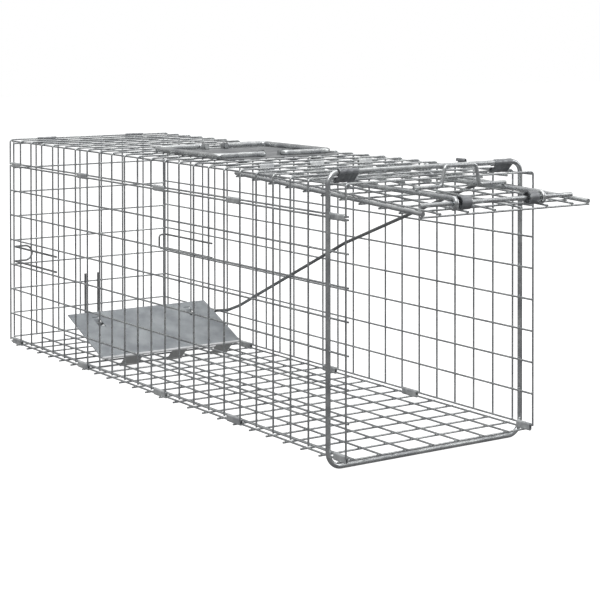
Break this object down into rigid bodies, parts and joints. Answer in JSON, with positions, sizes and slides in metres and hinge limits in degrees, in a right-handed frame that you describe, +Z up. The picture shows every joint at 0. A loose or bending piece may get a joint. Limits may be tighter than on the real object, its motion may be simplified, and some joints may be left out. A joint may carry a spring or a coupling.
{
  "type": "live catch trap",
  "caption": "Welded wire cage live trap with gravity door set open, lock bar, tilting treadle, trigger rod and folding carry handle on a guard plate.",
  "frame": {"origin": "centre of the cage's footprint on the ground, the ground being the underside of the front frame's lower bar", "axes": "+Z up, the door end towards -Y, X across the cage"},
  "size_m": [0.193, 0.6912, 0.2305],
  "materials": {
    "mesh_wire": "galvanised wire",
    "frame_rod": "galvanised rod",
    "bent_wire": "galvanised wire",
    "clip_sheet": "galvanised sheet",
    "dark_sheet": "dull galvanised sheet",
    "guard_sheet": "galvanised sheet",
    "treadle_sheet": "galvanised sheet"
  },
  "bodies": {
    "cage": {"upper_mesh": "mesh_wire", "left_wall_mesh": "mesh_wire", "floor_mesh": "mesh_wire", "rear_mesh": "mesh_wire", "front_frame": "frame_rod", "frame_clamps": "dark_sheet", "upper_seam_clips": "clip_sheet", "left_floor_clips": "clip_sheet", "right_floor_clips": "clip_sheet", "rear_clips": "clip_sheet", "corner_clip": "clip_sheet", "rear_hairpin_left": "bent_wire", "rear_hairpin_right": "bent_wire", "handle_plate": "guard_sheet"},
    "door": {"door_side_rods": "frame_rod", "door_mesh": "mesh_wire", "door_hinge_loops": "clip_sheet"},
    "lock_bar": {"lock_arms": "frame_rod", "lock_cross_rod": "frame_rod", "lock_rollers": "dark_sheet", "lock_bail": "frame_rod"},
    "treadle": {"treadle_plate": "treadle_sheet", "bait_prongs": "bent_wire"},
    "trigger": {"trigger_rod": "bent_wire"},
    "carry_bail_left": {"handle_bail_left": "frame_rod"},
    "carry_bail_right": {"handle_bail_right": "frame_rod"}
  },
  "joints": [
    {"name": "door_swing", "type": "hinge", "parent": "cage", "child": "door", "pos_m": [0, -0.127, 0.21781], "axis": [1, 0, 0], "range_deg": [0, 48.5]},
    {"name": "lock_swing", "type": "hinge", "parent": "cage", "child": "lock_bar", "pos_m": [0, -0.2286, 0.21781], "axis": [1, 0, 0], "range_deg": [0, 72.75]},
    {"name": "treadle_press", "type": "hinge", "parent": "cage", "child": "treadle", "pos_m": [0, 0.1362, 0.00799], "axis": [-1, 0, 0], "range_deg": [0, 12]},
    {"name": "trigger_pivot", "type": "hinge", "parent": "treadle", "child": "trigger", "pos_m": [0, 0.183, 0.04077], "axis": [1, 0, 0], "range_deg": [0, 10.56]},
    {"name": "carry_left_raise", "type": "hinge", "parent": "cage", "child": "carry_bail_left", "pos_m": [-0.009, -0.0023, 0.22193], "axis": [0, 1, 0], "range_deg": [0, 85]},
    {"name": "carry_right_raise", "type": "hinge", "parent": "cage", "child": "carry_bail_right", "pos_m": [0.012, -0.0023, 0.22193], "axis": [0, -1, 0], "range_deg": [0, 85]}
  ],
  "couplings": [
    {"joint": "lock_swing", "follows": "door_swing", "ratio": 1.5},
    {"joint": "trigger_pivot", "follows": "treadle_press", "ratio": 0.88}
  ]
}
